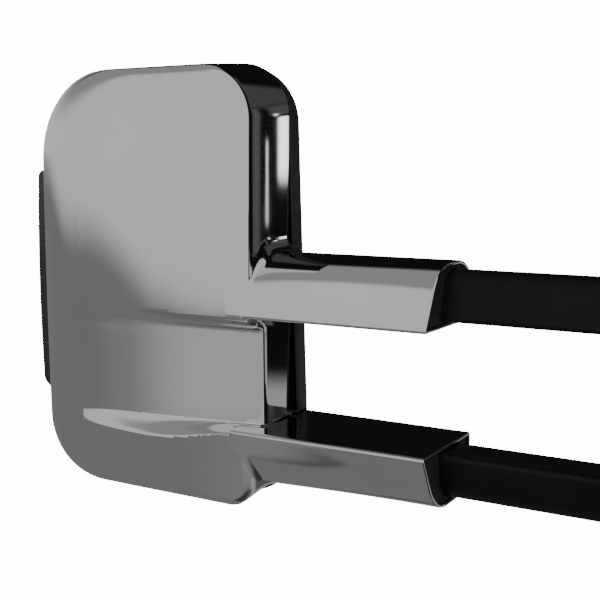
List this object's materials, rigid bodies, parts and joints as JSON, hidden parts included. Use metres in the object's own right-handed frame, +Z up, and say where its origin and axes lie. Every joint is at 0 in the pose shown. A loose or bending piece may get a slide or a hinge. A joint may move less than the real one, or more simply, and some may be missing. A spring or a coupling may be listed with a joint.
{
  "type": "car side mirror",
  "caption": "Twin-pole telescopic towing mirror: chrome head on two black poles, tilting main and wide-angle glass, side indicator, folding door base.",
  "frame": {"origin": "centre of the face that rests on the car door", "axes": "+X into the door, head towards -X, -Y the way the car drives, glass facing +Y, +Z up"},
  "size_m": [0.615, 0.132, 0.314],
  "materials": {
    "chrome": "bright chrome plate on ABS",
    "mirror": "silvered glass",
    "textured_black": "fine moulded texture",
    "pole_black": "satin black",
    "cast_black": "satin black powder coat over casting",
    "rubber": "matt",
    "zinc_steel": "zinc plated",
    "spring_steel": "phosphated",
    "acetal": "natural acetal",
    "inner_black": "glass-filled nylon",
    "motor_steel": "plated can",
    "brass": "turned",
    "heater_film": "printed film",
    "smoked_lens": "smoked, glossy",
    "circuit_board": "solder mask",
    "led": "amber"
  },
  "bodies": {
    "base": {"base_bracket": "cast_black", "base_gasket": "rubber", "mounting_studs": "zinc_steel", "cable_grommet": "rubber", "base_cover": "textured_black", "pivot_pin": "zinc_steel", "upper_thrust_washer": "acetal", "lower_thrust_washer": "acetal", "spring_seat": "zinc_steel", "disc_springs": "spring_steel", "spring_washer": "zinc_steel", "pivot_nut": "zinc_steel", "pivot_cap": "textured_black", "pivot_foot_cap": "textured_black"},
    "arms": {"yoke": "cast_black", "pole_screws": "zinc_steel", "upper_pivot_bush": "acetal", "lower_pivot_bush": "acetal", "upper_pole": "pole_black", "lower_pole": "pole_black", "upper_pole_plug": "inner_black", "lower_pole_plug": "inner_black"},
    "head": {"chrome_shell": "chrome", "rear_housing": "textured_black", "upper_arm_guide": "inner_black", "lower_arm_guide": "inner_black", "upper_sleeve_wiper": "rubber", "lower_sleeve_wiper": "rubber", "upper_friction_shoe": "acetal", "lower_friction_shoe": "acetal", "upper_shoe_spring": "spring_steel", "lower_shoe_spring": "spring_steel", "carrier_plate": "inner_black", "carrier_screws": "zinc_steel", "actuator_case": "inner_black", "actuator_screws": "zinc_steel", "actuator_cover": "inner_black", "tilt_motor": "motor_steel", "pan_motor": "motor_steel", "spotter_bracket": "inner_black", "indicator_lens": "smoked_lens", "indicator_housing": "inner_black", "indicator_board": "circuit_board", "indicator_leds": "led"},
    "main_ring": {"main_gimbal_ring": "acetal"},
    "main_glass": {"main_glass_holder": "inner_black", "main_heater": "heater_film", "main_mirror_glass": "mirror"},
    "tilt_rod": {"tilt_push_rod": "acetal"},
    "pan_rod": {"pan_push_rod": "acetal"},
    "tilt_gear": {"tilt_drive_gear": "acetal"},
    "pan_gear": {"pan_drive_gear": "acetal"},
    "tilt_worm": {"tilt_worm": "brass"},
    "pan_worm": {"pan_worm": "brass"},
    "spotter_ring": {"spotter_gimbal_ring": "acetal"},
    "spotter_glass": {"spotter_glass_holder": "inner_black", "spotter_mirror_glass": "mirror"}
  },
  "joints": [
    {"name": "arm_fold", "type": "hinge", "parent": "base", "child": "arms", "pos_m": [-0.068, 0.006, 0], "axis": [0, 0, 1], "range_deg": [-75, 60]},
    {"name": "head_extend", "type": "slide", "parent": "arms", "child": "head", "axis": [1, 0, 0], "range_m": [0, 0.08]},
    {"name": "main_tilt", "type": "hinge", "parent": "head", "child": "main_ring", "pos_m": [-0.4775, 0.022, 0.108], "axis": [1, 0, 0], "range_deg": [-8, 8]},
    {"name": "main_pan", "type": "hinge", "parent": "main_ring", "child": "main_glass", "pos_m": [-0.4775, 0.022, 0.108], "axis": [0, 0, 1], "range_deg": [-8, 8]},
    {"name": "tilt_rod_slide", "type": "slide", "parent": "head", "child": "tilt_rod", "axis": [0, 1, 0], "range_m": [-0.0047, 0.0047]},
    {"name": "pan_rod_slide", "type": "slide", "parent": "head", "child": "pan_rod", "axis": [0, 1, 0], "range_m": [-0.0047, 0.0047]},
    {"name": "tilt_gear_spin", "type": "hinge", "parent": "head", "child": "tilt_gear", "pos_m": [-0.4775, 0.0015, 0.076], "axis": [0, 1, 0], "range_deg": [-280, 280]},
    {"name": "pan_gear_spin", "type": "hinge", "parent": "head", "child": "pan_gear", "pos_m": [-0.4455, 0.0015, 0.108], "axis": [0, 1, 0], "range_deg": [-280, 280]},
    {"name": "tilt_worm_spin", "type": "hinge", "parent": "head", "child": "tilt_worm", "pos_m": [-0.4775, 0.0015, 0.0899], "axis": [1, 0, 0], "range_deg": [-5600, 5600]},
    {"name": "pan_worm_spin", "type": "hinge", "parent": "head", "child": "pan_worm", "pos_m": [-0.4594, 0.0015, 0.108], "axis": [0, 0, 1], "range_deg": [-5600, 5600]},
    {"name": "spotter_tilt", "type": "hinge", "parent": "head", "child": "spotter_ring", "pos_m": [-0.4775, 0.022, -0.04], "axis": [1, 0, 0], "range_deg": [-7, 7]},
    {"name": "spotter_pan", "type": "hinge", "parent": "spotter_ring", "child": "spotter_glass", "pos_m": [-0.4775, 0.022, -0.04], "axis": [0, 0, 1], "range_deg": [-7, 7]}
  ],
  "couplings": [
    {"joint": "tilt_rod_slide", "follows": "main_tilt", "m_per_rad": 0.032},
    {"joint": "pan_rod_slide", "follows": "main_pan", "m_per_rad": 0.032},
    {"joint": "tilt_gear_spin", "follows": "main_tilt", "ratio": 33.51},
    {"joint": "pan_gear_spin", "follows": "main_pan", "ratio": 33.51},
    {"joint": "tilt_worm_spin", "follows": "main_tilt", "ratio": 670.21},
    {"joint": "pan_worm_spin", "follows": "main_pan", "ratio": 670.21}
  ]
}
